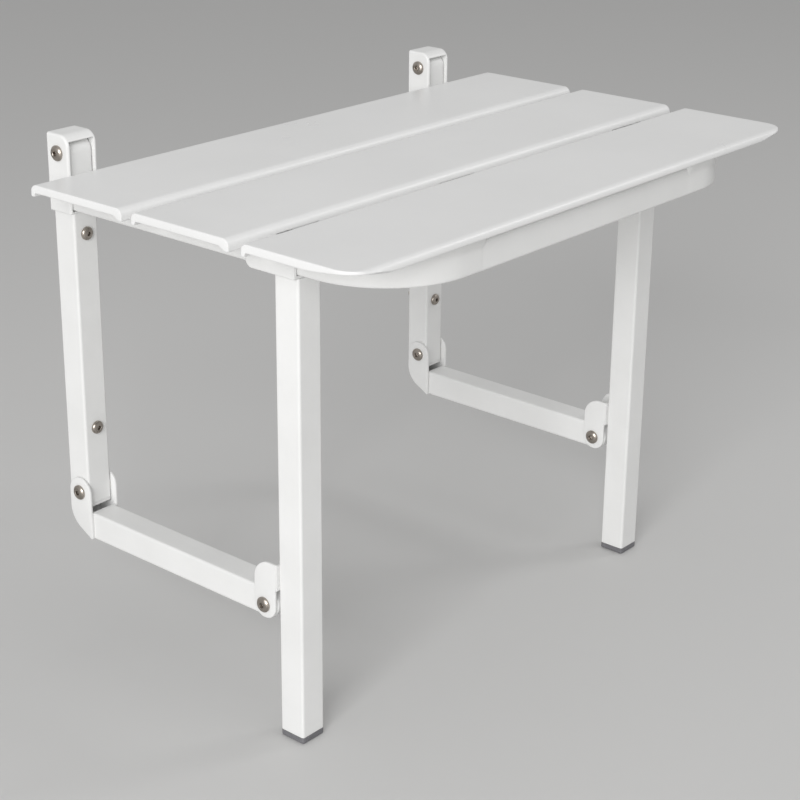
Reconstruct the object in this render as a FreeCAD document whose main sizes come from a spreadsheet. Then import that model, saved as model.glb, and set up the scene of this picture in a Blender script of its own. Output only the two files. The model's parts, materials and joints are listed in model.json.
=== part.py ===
import FreeCAD, Part
import os
import re
import Sketcher

# Fold down wall seat. Millimetres, +Z up, +X to the right seen from the room.
# The wall is the plane Y = 0 and the room is at -Y. Heights in the sheet are above the floor;
# every piece is then lowered by the height of the middle of the four wall fixings, the origin.

document = FreeCAD.newDocument("WallSeat")
sheet = document.addObject("Spreadsheet::Sheet", "Sizes")

sizes = {
    "tube": 30,                # square tube of posts, rails, legs and links
    "tube_wall": 2,
    "tube_round": 2.5,         # outside corner radius of the tube
    "post_pitch": 550,         # centre to centre of the two posts
    "post_foot": 159,          # underside of the post above the floor
    "cap_lip": 4,
    "plug_depth": 15,
    "plug_gap": 0.1,           # plug to tube, each side
    "fixing_from_head": 23,    # upper wall screw below the top of the post
    "fixing_from_foot": 88,    # lower wall screw above the post's foot
    "fixing_hole": 5.2,        # radius in the post, with room to set the post straight
    "screw_shank": 4,          # radius
    "screw_head": 6.5,         # radius
    "screw_head_height": 4.5,
    "screw_head_round": 3.6,
    "screw_in_wall": 45,
    "ear": 3,                  # plate of every hinge ear
    "washer": 0.75,            # room for a washer between ear and tube
    "washer_rim": 9,           # washer radius
    "washer_play": 0.05,
    "bolt": 4,                 # pivot bolt radius
    "running": 0.05,           # radial clearance of a turning hole
    "open_pivot": 0.5,         # radial clearance of the pivot that closes each linkage
    "bolt_head": 7,            # radius
    "bolt_head_height": 4.4,
    "head_round": 3.6,
    "nut": 5.5,                # radius of the small round nut
    "nut_height": 3.4,
    "nut_round": 1.2,
    "bolt_end": 2,             # bolt past the ear, inside the nut
    "seat_height": 525,
    "slat_depth": 12,
    "slat_plate": 8,
    "hinge_above": 27,         # top pivot above the rails
    "hinge_out": 15,           # top pivot from the wall
    "hood_above": 19,          # hood over the top pivot
    "hood_lip": 12.5,          # mouth of the hood over the top pivot
    "hood_round": 12,
    "hood_edge": 2.6,
    "housing_back": 2,
    "cheek_proud": 0.5,        # cheeks in front of the post
    "floor_plate": 2,
    "floor_gap": 1,            # under the rail
    "spigot": 16,
    "lug_half": 12,            # half the depth of the seat's hinge lug
    "rail_heel": 10,           # rounding of the rail under the hinge
    "heel_wall": 9,            # closed end of the rail
    "slab_over": 9,            # front slat in front of the seat frame
    "frame_bend": 117,         # outside radius of the frame's two bends
    "pivot_to_bend": 49,       # seat pivot behind the start of the bends
    "pivot_in_rail": 21,       # seat pivot above the rail's underside
    "pivot_to_leg": 22,        # leg's back face in front of the seat pivot
    "link_pivot_out": 20,      # lower wall pivot from the wall
    "link_pivot_up": 17,       # lower wall pivot above the post's foot
    "foot": 7,
    "foot_plug": 18,
    "foot_round": 1.5,
    "stop_gap": 0.2,           # rail over the leg's top plate
    "top_ear_back": 10.5,      # leg's top ears behind the seat pivot
    "top_ear_over": 7,
    "top_ear_front": 1,        # ears' front edge behind the leg's face
    "top_ear_round": 8,
    "link_ear": 13.5,          # half width of the leg's lower ears
    "link_ear_long": 34.5,
    "link_web_over": 19,       # web above the link pivot
    "link_end": 13,            # closed end of the link before its pivot
    "bucket_round": 16,        # link's wall bracket about its pivot
    "bucket_foot": 3,          # bracket below the link
    "scoop_knee_out": 14,      # first turn of the bracket's floor, from the wall
    "scoop_knee_up": 9,        # and above the bracket's underside
    "scoop_heel_out": 6,       # second turn
    "scoop_heel_up": 26,
    "scoop_back_up": 36,       # end of the floor at the bracket's back
    "scoop_skin": 2.2,
    "scoop_floor": 3.6,
    "scoop_round": 13.5,
    "slat_long": 700,
    "slats_start": 42.4,       # back slat from the wall
    "slat_one": 128.6,         # depths of the three slats and the two gaps
    "gap_one": 13,
    "slat_two": 126,
    "gap_two": 15,
    "slab": 134,
    "lip": 3.5,                # downturned lip of a slat
    "lip_round": 1,
    "nose_run": 9,             # underside slope behind a slat's nose
    "nose_tip": 3.5,
    "nose_round": 8,
    "nose_under": 1.5,         # rounding of the nose's lower edge
    "nose_hollow": 10,         # rounding where plate and slope meet
    "slat_edge": 6.5,
    "slat_corner": 4,          # plan corners of the slats
    "slab_corner": 30,         # plan corners at the seat's front
    "pad_wide": 24,            # screw pads under the slats
    "pad_inset": 16,
    "notch_side": 262,         # drain notches under the noses, from the middle
    "notch_middle": -35,
    "notch_long": 56,
    "notch_deep": 6,
    "notch_up": 7.2,
    "front_screws": 300,       # spacing of the screws in the frame's front
    "slat_screw": 2.5,         # radius
    "slat_screw_head": 4.2,
    "slat_screw_head_height": 2.5,
    "slat_screw_head_round": 2,
    "slat_screw_in": 7,
    "access": 6,               # radius of the hole in the rail's underside
    "past": 1,                 # how far a cut starts outside its piece
}
same = 0.01                    # places closer than this are the same place

for row, (alias, number) in enumerate(sizes.items(), start=1):
    sheet.set("A%d" % row, alias)
    sheet.set("B%d" % row, str(number))
    sheet.setAlias("B%d" % row, alias)
document.recompute()

# Heights and depths that several pieces share, in terms of the sheet's sizes.
rail_top = "(seat_height - slat_depth)"
rail_low = "(seat_height - slat_depth - tube)"
housing_floor = "(seat_height - slat_depth - tube - floor_gap)"
post_top = "(seat_height - slat_depth - tube - floor_gap - floor_plate)"
ear_in = "(tube / 2 + washer)"
ear_out = "(tube / 2 + washer + ear)"
slat_one_back = "slats_start"
slat_one_front = "(slats_start + slat_one)"
slat_two_back = "(" + slat_one_front + " + gap_one)"
slat_two_front = "(" + slat_two_back + " + slat_two)"
slab_back = "(" + slat_two_front + " + gap_two)"
slab_front = "(" + slab_back + " + slab)"
frame_front = "(" + slab_front + " - slab_over)"
fixing_high = "(" + post_top + " - fixing_from_head)"
fixing_low = "(post_foot + fixing_from_foot)"
fixing_height = "((" + fixing_high + " + " + fixing_low + ") / 2)"

# The seat's rail and the link are the two long bars of a parallelogram: pivot to pivot they reach
# as far towards the room and drop as much, so the leg stays upright.
hinge_height = "(" + rail_top + " + hinge_above)"
link_pivot_height = "(post_foot + link_pivot_up)"
bar_reach = "(" + frame_front + " - frame_bend - pivot_to_bend - hinge_out)"
bar_drop = "(hinge_above + tube - pivot_in_rail)"
seat_pivot = ("-(hinge_out + " + bar_reach + ")", "(" + hinge_height + " - " + bar_drop + ")")
link_pivot = (
    "-(link_pivot_out + " + bar_reach + ")", "(" + link_pivot_height + " - " + bar_drop + ")")
top_pivot = ("-hinge_out", hinge_height)
wall_pivot = ("-link_pivot_out", link_pivot_height)
leg_back = "(hinge_out + " + bar_reach + " + pivot_to_leg)"
leg_top = "(seat_height - slat_depth - tube - stop_gap - ear)"

sides = (("left", "-post_pitch / 2"), ("right", "post_pitch / 2"))
parts = []


def tied(text):
    """The same expression with each size name pointing into the sheet."""
    return re.sub(r"\b([a-z][a-z0-9_]*)\b", r"Sizes.\1", text)


def value(text):
    """The number that an expression of the sheet's sizes gives now."""
    return float(sheet.evalExpression(tied(text)))


def place(piece, across="0"):
    """Stand a piece at its place across the seat, with the origin at the wall fixings."""
    piece.setExpression("Placement.Base.x", tied(across))
    piece.setExpression("Placement.Base.z", tied("-" + fixing_height))
    parts.append(piece)


def plain_body(label):
    """Body that is only used to make a piece."""
    body = document.addObject("PartDesign::Body", label)
    body.Label = label
    return body


def new_body(label, across="0"):
    """Body that is a piece itself."""
    body = plain_body(label)
    place(body, across)
    return body


def joined(kind, label, base, tool):
    """Piece made from two bodies by a cut or by what they share."""
    piece = document.addObject(kind, label)
    piece.Base = base
    piece.Tool = tool
    place(piece)


def new_sketch(body, role, height="0"):
    """Empty sketch on one of the body's own origin planes, raised along its normal."""
    sketch = body.newObject("Sketcher::SketchObject", body.Label + "_sketch")
    planes = [plane for plane in body.Origin.OriginFeatures if plane.Role == role]
    sketch.AttachmentSupport = [(planes[0], "")]
    sketch.MapMode = "FlatFace"
    if height != "0":
        sketch.setExpression("AttachmentOffset.Base.z", tied(height))
    return sketch


def pin_point(sketch, name, element, spot, at):
    """Hold one point of a sketch at two sheet expressions."""
    for axis, kind, text in (("x", "DistanceX", at[0]), ("y", "DistanceY", at[1])):
        rule = Sketcher.Constraint(kind, -1, 1, element, spot, value(text))
        index = sketch.addConstraint(rule)
        sketch.renameConstraint(index, name + axis)
        sketch.setExpression("Constraints." + name + axis, tied(text))


def outline(body, role, corners, height="0"):
    """Closed straight-sided outline through the given corners."""
    sketch = new_sketch(body, role, height)
    spots = [FreeCAD.Vector(value(u), value(v), 0) for u, v in corners]
    count = len(corners)
    for i in range(count):
        sketch.addGeometry(Part.LineSegment(spots[i], spots[(i + 1) % count]), False)
    for i in range(count):
        sketch.addConstraint(Sketcher.Constraint("Coincident", i, 2, (i + 1) % count, 1))
    for i in range(count):
        pin_point(sketch, "corner%d" % i, i, 1, corners[i])
    return sketch


def box_outline(body, role, low, high, height="0"):
    """Rectangle from its low corner to its high corner."""
    corners = [(low[0], low[1]), (high[0], low[1]), (high[0], high[1]), (low[0], high[1])]
    return outline(body, role, corners, height)


def rings(body, role, centres, radius, height="0"):
    """Equal circles about the given centres."""
    sketch = new_sketch(body, role, height)
    for i, centre in enumerate(centres):
        middle = FreeCAD.Vector(value(centre[0]), value(centre[1]), 0)
        sketch.addGeometry(Part.Circle(middle, FreeCAD.Vector(0, 0, 1), value(radius)), False)
        pin_point(sketch, "centre%d" % i, i, 3, centre)
        index = sketch.addConstraint(Sketcher.Constraint("Radius", i, value(radius)))
        sketch.renameConstraint(index, "radius%d" % i)
        sketch.setExpression("Constraints.radius%d" % i, tied(radius))
    return sketch


def extrude(body, kind, sketch, length, both, turned):
    feature = body.newObject(kind, body.Label + "_feature")
    feature.Profile = sketch
    feature.SideType = "Symmetric" if both else "One side"
    feature.Reversed = turned
    feature.setExpression("Length", tied(length))
    document.recompute()
    return feature


def pad(body, sketch, length, both=False, turned=False):
    return extrude(body, "PartDesign::Pad", sketch, length, both, turned)


def pocket(body, sketch, length, both=False, turned=False):
    """Cut that has to take something away."""
    before = body.Tip.Shape.Volume
    feature = extrude(body, "PartDesign::Pocket", sketch, length, both, turned)
    if feature.Shape.Volume > before - same:
        raise RuntimeError(body.Label + ": a pocket cuts nothing")
    return feature


def on_lines(spots, axes):
    """Rule that picks the edges whose ends both lie on one of the given lines."""
    lines = [(value(u), value(v)) for u, v in spots]

    def rule(edge):
        points = [end.Point for end in edge.Vertexes]
        ends = [(getattr(point, axes[0]), getattr(point, axes[1])) for point in points]
        if len(ends) < 2:
            return False
        for u, v in lines:
            if all(abs(end[0] - u) < same and abs(end[1] - v) < same for end in ends):
                return True
        return False
    return rule


def in_plane(axis, at):
    """Rule that picks the edges lying wholly in one plane."""
    plane = value(at)

    def rule(edge):
        low = getattr(edge.BoundBox, axis.upper() + "Min")
        high = getattr(edge.BoundBox, axis.upper() + "Max")
        return abs(low - plane) < same and abs(high - plane) < same
    return rule


def soften(body, radius, rule, kind="PartDesign::Fillet"):
    """Round, or bevel, the edges of the last feature that the rule picks."""
    base = body.Tip
    names = ["Edge%d" % (i + 1) for i, edge in enumerate(base.Shape.Edges) if rule(edge)]
    if not names:
        raise RuntimeError(body.Label + ": no edge to round")
    feature = body.newObject(kind, body.Label + "_round")
    feature.Base = (base, names)
    feature.setExpression("Radius" if kind.endswith("Fillet") else "Size", tied(radius))
    document.recompute()
    return feature


def square_tube(body, back, low, high):
    """Upright square tube with round corners, its back face at the given depth."""
    front = "-(" + back + " + tube)"
    outer = box_outline(body, "XY_Plane", ("-tube / 2", front), ("tube / 2", "-" + back), low)
    pad(body, outer, high + " - " + low)
    corners = [(x, y) for x in ("-tube / 2", "tube / 2") for y in (front, "-" + back)]
    soften(body, "tube_round", on_lines(corners, "xy"))
    inner = box_outline(
        body, "XY_Plane",
        ("-(tube / 2 - tube_wall)", front + " + tube_wall"),
        ("tube / 2 - tube_wall", "-" + back + " - tube_wall"), low)
    pocket(body, inner, high + " - " + low, turned=True)


def tube_plug(body, back, low, lip, plug):
    """End plug of an upright tube: a flush lip and a stem inside the tube, above or below it."""
    front = "-(" + back + " + tube)"
    outer = box_outline(body, "XY_Plane", ("-tube / 2", front), ("tube / 2", "-" + back), low)
    pad(body, outer, lip)
    corners = [(x, y) for x in ("-tube / 2", "tube / 2") for y in (front, "-" + back)]
    soften(body, "tube_round", on_lines(corners, "xy"))
    soften(body, "foot_round", in_plane("z", low))
    stem = box_outline(
        body, "XY_Plane",
        ("-(tube / 2 - tube_wall - plug_gap)", front + " + tube_wall + plug_gap"),
        ("tube / 2 - tube_wall - plug_gap", "-" + back + " - tube_wall - plug_gap"),
        low + " + " + lip)
    pad(body, stem, plug)


def cross_hole(body, pivot, radius):
    """Round hole from side to side at a pivot."""
    pocket(body, rings(body, "YZ_Plane", [pivot], radius), "2 * tube + 2 * ear", both=True)


def post_tube(side, across):
    body = new_body("post_tube_" + side, across)
    square_tube(body, "0", "(post_foot + cap_lip)", post_top)
    fixings = [("0", fixing_high), ("0", fixing_low)]
    pocket(body, rings(body, "XZ_Plane", fixings, "fixing_hole"), "3 * tube", both=True)
    cross_hole(body, wall_pivot, "bolt + running")


def post_cap(side, across):
    """Closed lower end of the post, its stem hollowed for the lower wall pivot."""
    body = new_body("post_cap_" + side, across)
    tube_plug(body, "0", "post_foot", "cap_lip", "plug_depth")
    cross_hole(body, wall_pivot, "bolt + plug_gap")


def hinge_housing(side, across):
    """Cast head of the post: two cheeks, a thin back, a hood and a spigot in the post."""
    body = new_body("hinge_housing_" + side, across)
    front = "-(tube + cheek_proud)"
    top = "(" + hinge_height + " + hood_above)"
    block = box_outline(body, "YZ_Plane", (front, post_top), ("0", top))
    pad(body, block, "2 * " + ear_out, both=True)
    soften(body, "hood_round", on_lines([(front, top)], "yz"))

    def outer_edge(edge):
        """The outer edges of both cheeks, but for those on the wall and on the post."""
        if not any(in_plane("x", at)(edge) for at in (ear_out, "-" + ear_out)):
            return False
        middle = edge.BoundBox.Center
        return middle.y < -same and middle.z > value(post_top) + same
    soften(body, "hood_edge", outer_edge)
    room = box_outline(
        body, "YZ_Plane", (front + " - past", housing_floor),
        ("-housing_back", "(" + hinge_height + " + hood_lip)"))
    pocket(body, room, "2 * " + ear_in, both=True)
    stem = box_outline(
        body, "XY_Plane",
        ("-(tube / 2 - tube_wall - plug_gap)", "-(tube - tube_wall - plug_gap)"),
        ("tube / 2 - tube_wall - plug_gap", "-(tube_wall + plug_gap)"), post_top)
    pad(body, stem, "spigot", turned=True)
    cross_hole(body, top_pivot, "bolt + running")


def bent_bar(label, inset, back):
    """The seat tube's outside, or its hollow when drawn in by the tube's wall: a U with two bends."""
    body = plain_body(label)
    half = ("(post_pitch / 2 + tube / 2 - %s)" % inset, "(post_pitch / 2 - tube / 2 + %s)" % inset)
    front = ("-(%s - %s)" % (frame_front, inset), "-(%s - tube + %s)" % (frame_front, inset))
    plan = [
        ("-" + half[0], back), ("-" + half[0], front[0]), (half[0], front[0]), (half[0], back),
        (half[1], back), (half[1], front[1]), ("-" + half[1], front[1]), ("-" + half[1], back)]
    low = rail_low + " + " + inset
    pad(body, outline(body, "XY_Plane", plan, low), "tube - 2 * " + inset)
    insides = [(x, front[1]) for x in ("-" + half[1], half[1])]
    soften(body, "frame_bend - tube + " + inset, on_lines(insides, "xy"))
    outsides = [(x, front[0]) for x in ("-" + half[0], half[0])]
    soften(body, "frame_bend - " + inset, on_lines(outsides, "xy"))
    return body


def seat_frame():
    """One square tube bent into a U: two side rails and the curved front under the slats."""
    back = "-(hinge_out - lug_half)"
    body = bent_bar("seat_frame_outside", "0", back)
    soften(body, "rail_heel", on_lines([(back, rail_low)], "yz"))

    def long_edge(edge):
        flat = in_plane("z", rail_low)(edge) or in_plane("z", rail_top)(edge)
        return flat and edge.Length > value("tube") + same
    soften(body, "tube_round", long_edge)
    pivots = rings(body, "YZ_Plane", [seat_pivot], "bolt + running")
    pocket(body, pivots, "2 * post_pitch", both=True)
    screws = all_slat_screws()
    pocket(body, rings(body, "XY_Plane", screws, "access", rail_low), "2 * tube_wall", turned=True)
    through = rings(body, "XY_Plane", screws, "slat_screw + running", rail_top)
    pocket(body, through, "2 * tube_wall")
    hollow = bent_bar("seat_frame_hollow", "tube_wall", back + " - heel_wall")
    joined("Part::Cut", "seat_frame", body, hollow)


def all_slat_screws():
    """Places of all the screws that hold the slats."""
    spots = [(across, depth) for _, across in sides for depth in slat_screw_depths()]
    return spots + front_screws()


def front_screws():
    """Places of the screws in the frame's front."""
    depth = "-(" + frame_front + " - tube / 2)"
    return [("-front_screws / 2", depth), ("front_screws / 2", depth)]


def slat_screw_depths():
    """Depths of the screws that hold the slats: two in each screw pad."""
    depths = []
    for back, front in ((slat_one_back, slat_one_front), (slat_two_back, slat_two_front)):
        depths.append("-(%s + 2 * pad_inset)" % back)
        depths.append("-(%s - 2 * pad_inset)" % front)
    depths.append("-(" + slab_back + " + 2 * pad_inset)")
    return depths


def hinge_lug(side, across):
    """Upright end of the rail that turns on the top pivot inside the housing."""
    body = new_body("hinge_lug_" + side, across)
    low = ("-(hinge_out + lug_half)", rail_top)
    high = ("-(hinge_out - lug_half)", hinge_height)
    pad(body, box_outline(body, "YZ_Plane", low, high), "tube", both=True)
    pad(body, rings(body, "YZ_Plane", [top_pivot], "lug_half"), "tube", both=True)
    soften(body, "tube_round", on_lines([(x, low[0]) for x in ("-tube / 2", "tube / 2")], "xy"))
    cross_hole(body, top_pivot, "bolt + running")


def screw_pads(body, back, front):
    """Pads that seat a slat on both rails."""
    for _, across in sides:
        low = (across + " - pad_wide / 2", "-(" + front + " - pad_inset)")
        high = (across + " + pad_wide / 2", "-(" + back + " + pad_inset)")
        plan = box_outline(body, "XY_Plane", low, high, rail_top)
        pad(body, plan, "slat_depth - slat_plate")


def drain_notches(body, front, middles):
    """Shallow notches cut up into the underside of a slat's nose."""
    for middle in middles:
        low = ("%s - notch_long / 2" % middle, "-(" + front + " + past)")
        high = ("%s + notch_long / 2" % middle, "-(" + front + " - notch_deep)")
        pocket(body, box_outline(body, "XY_Plane", low, high, rail_top), "notch_up", turned=True)


def slat(label, back, front, tip, front_corner, screws, notches):
    """Extruded slat: lip at the back, flat plate and drooping nose, its ends cut to the plan."""
    body = plain_body(label + "_section")
    under = "(seat_height - slat_plate)"
    nose = "-(" + front + " - " + tip + ")"
    slope = "-(" + front + " - " + tip + " - nose_run)"
    inner = "-(" + back + " + lip)"
    section = [
        ("-" + back, "seat_height"),
        ("-" + front, "seat_height"),
        ("-" + front, rail_top),
        (nose, rail_top),
        (slope, under),
        (inner, under),
        (inner, rail_top),
        ("-" + back, rail_top)]
    pad(body, outline(body, "YZ_Plane", section), "slat_long", both=True)
    screw_pads(body, back, front + " - " + tip)
    holes = rings(body, "XY_Plane", screws, "slat_screw + running", rail_top)
    pocket(body, holes, "slat_screw_in + plug_gap", turned=True)
    soften(body, "slat_edge", on_lines([("-" + back, "seat_height")], "yz"))
    soften(body, "nose_round", on_lines([("-" + front, "seat_height")], "yz"))
    soften(body, "nose_under", on_lines([("-" + front, rail_top)], "yz"))
    soften(body, "lip_round", on_lines([("-" + back, rail_top)], "yz"))
    soften(body, "nose_hollow", on_lines([(slope, under)], "yz"))
    plan = plain_body(label + "_plan")
    half = "slat_long / 2"
    ends = box_outline(plan, "XY_Plane", ("-" + half, "-" + front), (half, "-" + back), rail_top)
    pad(plan, ends, "slat_depth")
    soften(plan, "slat_corner", on_lines([(x, "-" + back) for x in ("-" + half, half)], "xy"))
    if front_corner:
        soften(plan, front_corner, on_lines([(x, "-" + front) for x in ("-" + half, half)], "xy"))
    drain_notches(plan, front, notches)
    joined("Part::Common", label, body, plan)


def leg_tube(side, across):
    square_tube(new_body("leg_tube_" + side, across), leg_back, "foot", leg_top)


def foot(side, across):
    tube_plug(new_body("foot_" + side, across), leg_back, "0", "foot", "foot_plug")


def leg_top_bracket(side, across):
    """Plate on the leg's head that the rail rests on, between two ears on the seat pivot."""
    body = new_body("leg_top_bracket_" + side, across)
    back = seat_pivot[0] + " + top_ear_back"
    front = "-(" + leg_back + " + tube - top_ear_front)"
    high = seat_pivot[1] + " + top_ear_over"
    side_view = box_outline(body, "YZ_Plane", (front, leg_top), (back, high))
    pad(body, side_view, "2 * " + ear_out, both=True)
    soften(body, "top_ear_round", on_lines([(back, leg_top), (back, high)], "yz"))
    soften(body, "ear", on_lines([(front, high)], "yz"))
    over = box_outline(
        body, "YZ_Plane", (front + " - past", leg_top + " + ear"),
        (back + " + past", high + " + past"))
    pocket(body, over, "2 * " + ear_in, both=True)
    behind = box_outline(
        body, "YZ_Plane", ("-" + leg_back, leg_top + " - past"),
        (back + " + past", leg_top + " + 2 * ear"))
    pocket(body, behind, "2 * " + ear_in, both=True)
    cross_hole(body, seat_pivot, "bolt + running")


def leg_link_bracket(side, across):
    """Pair of long round-ended ears behind the leg, joined by a web above the link."""
    body = new_body("leg_link_bracket_" + side, across)
    across_out = "2 * " + ear_out
    top_end = (link_pivot[0], link_pivot[1] + " + link_ear_long")
    low = (link_pivot[0] + " - link_ear", link_pivot[1])
    high = (link_pivot[0] + " + link_ear", top_end[1])
    pad(body, box_outline(body, "YZ_Plane", low, high), across_out, both=True)
    pad(body, rings(body, "YZ_Plane", [link_pivot], "link_ear"), across_out, both=True)
    pad(body, rings(body, "YZ_Plane", [top_end], "link_ear"), across_out, both=True)
    web_low = link_pivot[1] + " + link_web_over"
    web_high = top_end[1] + " + link_ear - tube_round"
    web = box_outline(body, "YZ_Plane", ("-" + leg_back, web_low), (link_pivot[0], web_high))
    pad(body, web, across_out, both=True)
    gap_low = ("-(" + leg_back + " - ear)", link_pivot[1] + " - 2 * link_ear")
    gap_high = (link_pivot[0] + " + 2 * link_ear", top_end[1] + " + 2 * link_ear")
    pocket(body, box_outline(body, "YZ_Plane", gap_low, gap_high), "2 * " + ear_in, both=True)
    cross_hole(body, link_pivot, "bolt + running")


def link_tube(side, across):
    """Bar from the wall bracket to the leg, with a round nose on its front pivot."""
    body = new_body("link_tube_" + side, across)
    back = "-(link_pivot_out + bucket_round)"
    low = (link_pivot[0], link_pivot[1] + " - tube / 2")
    high = (back, link_pivot[1] + " + tube / 2")
    pad(body, box_outline(body, "YZ_Plane", low, high), "tube", both=True)
    pad(body, rings(body, "YZ_Plane", [link_pivot], "tube / 2"), "tube", both=True)
    long_edges = [(x, z) for x in ("-tube / 2", "tube / 2") for z in (low[1], high[1])]
    soften(body, "tube_round", on_lines(long_edges, "xz"))
    half = "(tube / 2 - tube_wall)"
    bore = box_outline(
        body, "XZ_Plane", ("-" + half, low[1] + " + tube_wall"), (half, high[1] + " - tube_wall"),
        "link_pivot_out + bucket_round")
    pocket(body, bore, bar_reach + " - bucket_round - link_end", turned=True)
    cross_hole(body, link_pivot, "bolt + open_pivot")


def link_wall_bracket(side, across):
    """Scoop on the link's end: ears on the lower wall pivot, a front web and a sloping floor."""
    body = new_body("link_wall_bracket_" + side, across)
    front = "-(link_pivot_out + bucket_round)"
    back = "-(link_pivot_out - bucket_round)"
    low = "(" + link_pivot[1] + " - tube / 2 - bucket_foot)"
    knee_up = low + " + scoop_knee_up"
    heel_up = low + " + scoop_heel_up"
    back_up = low + " + scoop_back_up"
    shell = [
        (front, wall_pivot[1]),
        (front, low),
        (front + " + ear", low),
        ("-scoop_knee_out", knee_up),
        ("-scoop_heel_out", heel_up),
        (back, back_up),
        (back, wall_pivot[1])]
    pad(body, outline(body, "YZ_Plane", shell), "2 * " + ear_out, both=True)
    pad(body, rings(body, "YZ_Plane", [wall_pivot], "bucket_round"), "2 * " + ear_out, both=True)
    soften(body, "scoop_round", on_lines([shell[3], shell[4]], "yz"))
    over = wall_pivot[1] + " + 2 * bucket_round"
    link_top = link_pivot[1] + " + tube / 2"
    inside = [
        (front + " - past", over),
        (front + " - past", link_top),
        (front + " + ear", link_top),
        (front + " + ear", low + " + scoop_floor"),
        ("-(scoop_knee_out + scoop_skin)", knee_up + " + scoop_skin"),
        ("-(scoop_heel_out + ear)", heel_up + " + ear / 2"),
        (back + " + past", back_up),
        (back + " + past", over)]
    pocket(body, outline(body, "YZ_Plane", inside), "2 * " + ear_in, both=True)
    cross_hole(body, wall_pivot, "bolt + running")


def pivot_bolt(name, side, across, pivot):
    """Button-headed pin through one hinge, its head on the left."""
    body = new_body(name + "_bolt_" + side, across)
    head = rings(body, "YZ_Plane", [pivot], "bolt_head", "-" + ear_out)
    pad(body, head, "bolt_head_height", turned=True)
    soften(body, "head_round", in_plane("x", "-(" + ear_out + " + bolt_head_height)"))
    shank = rings(body, "YZ_Plane", [pivot], "bolt", "-" + ear_out)
    pad(body, shank, "2 * " + ear_out + " + bolt_end")


def pivot_nut(name, side, across, pivot):
    body = new_body(name + "_nut_" + side, across)
    pad(body, rings(body, "YZ_Plane", [pivot], "nut", ear_out), "nut_height")
    soften(body, "nut_round", in_plane("x", ear_out + " + nut_height"))
    bore = rings(body, "YZ_Plane", [pivot], "bolt + running", ear_out)
    pocket(body, bore, "bolt_end + running", turned=True)


def cylinder(name, axis, radius, length, spot):
    """Cylinder along one axis from a given spot."""
    rod = document.addObject("Part::Cylinder", name)
    rod.setExpression("Radius", tied(radius))
    rod.setExpression("Height", tied(length))
    turns = {
        "x": FreeCAD.Rotation(FreeCAD.Vector(0, 1, 0), 90),
        "-x": FreeCAD.Rotation(FreeCAD.Vector(0, 1, 0), -90),
        "y": FreeCAD.Rotation(FreeCAD.Vector(1, 0, 0), -90),
        "-y": FreeCAD.Rotation(FreeCAD.Vector(1, 0, 0), 90),
        "z": FreeCAD.Rotation(),
        "-z": FreeCAD.Rotation(FreeCAD.Vector(1, 0, 0), 180)}
    rod.Placement = FreeCAD.Placement(FreeCAD.Vector(0, 0, 0), turns[axis])
    for direction, text in zip("xyz", spot):
        rod.setExpression("Placement.Base." + direction, tied(text))
    return rod


def group(label, pieces):
    """Several equal pieces kept as separate solids under one name."""
    whole = document.addObject("Part::Compound", label)
    whole.Label = label
    whole.Links = pieces
    place(whole)


def washers(label, pivot, places):
    """Nylon washers on both sides of a tube, at each of the given places across the seat."""
    rims = []
    for i, across in enumerate(places):
        for sign, axis in (("-", "-x"), ("+", "x")):
            name = "%s_%d%s" % (label, i, axis[0])
            spot = (across + sign + "(tube / 2 + washer_play)", pivot[0], pivot[1])
            thick = "washer - 2 * washer_play"
            ring = document.addObject("Part::Cut", name)
            ring.Base = cylinder(name + "_rim", axis, "washer_rim", thick, spot)
            ring.Tool = cylinder(name + "_bore", axis, "bolt + running", thick, spot)
            rims.append(ring)
    group(label, rims)


def screw(name, axis, head, shank, length, spot):
    """Round-headed screw: its shank runs from the spot along the axis, its head the other way."""
    back = axis[1:] if axis.startswith("-") else "-" + axis
    blank = cylinder(name + "_blank", back, head, head + "_height", spot)
    document.recompute()
    foot_of_head = blank.Placement.Base
    rims = [
        (edge.BoundBox.Center.distanceToPoint(foot_of_head), index)
        for index, edge in enumerate(blank.Shape.Edges, start=1)
        if isinstance(edge.Curve, Part.Circle)]
    dome = document.addObject("Part::Fillet", name + "_dome")
    dome.Base = blank
    bend = value(head + "_round")
    dome.Edges = [(max(rims)[1], bend, bend)]
    whole = document.addObject("Part::Fuse", name)
    whole.Base = dome
    whole.Tool = cylinder(name + "_shank", axis, shank, length, spot)
    return whole


def wall_screws():
    """Two screws through each post into the wall."""
    screws = []
    for side, across in sides:
        for level, height in (("high", fixing_high), ("low", fixing_low)):
            name = "wall_screw_%s_%s" % (side, level)
            spot = (across, "-tube", height)
            screws.append(screw(
                name, "y", "screw_head", "screw_shank", "tube + screw_in_wall", spot))
    group("wall_screws", screws)


def slat_screws():
    """Screws that hold the slats from inside the seat's tube."""
    screws = []
    under = rail_top + " - tube_wall"
    for i, (across, depth) in enumerate(all_slat_screws()):
        screws.append(screw(
            "slat_screw_%d" % i, "z", "slat_screw_head", "slat_screw",
            "slat_screw_in + tube_wall", (across, depth, under)))
    group("slat_screws", screws)


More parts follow.
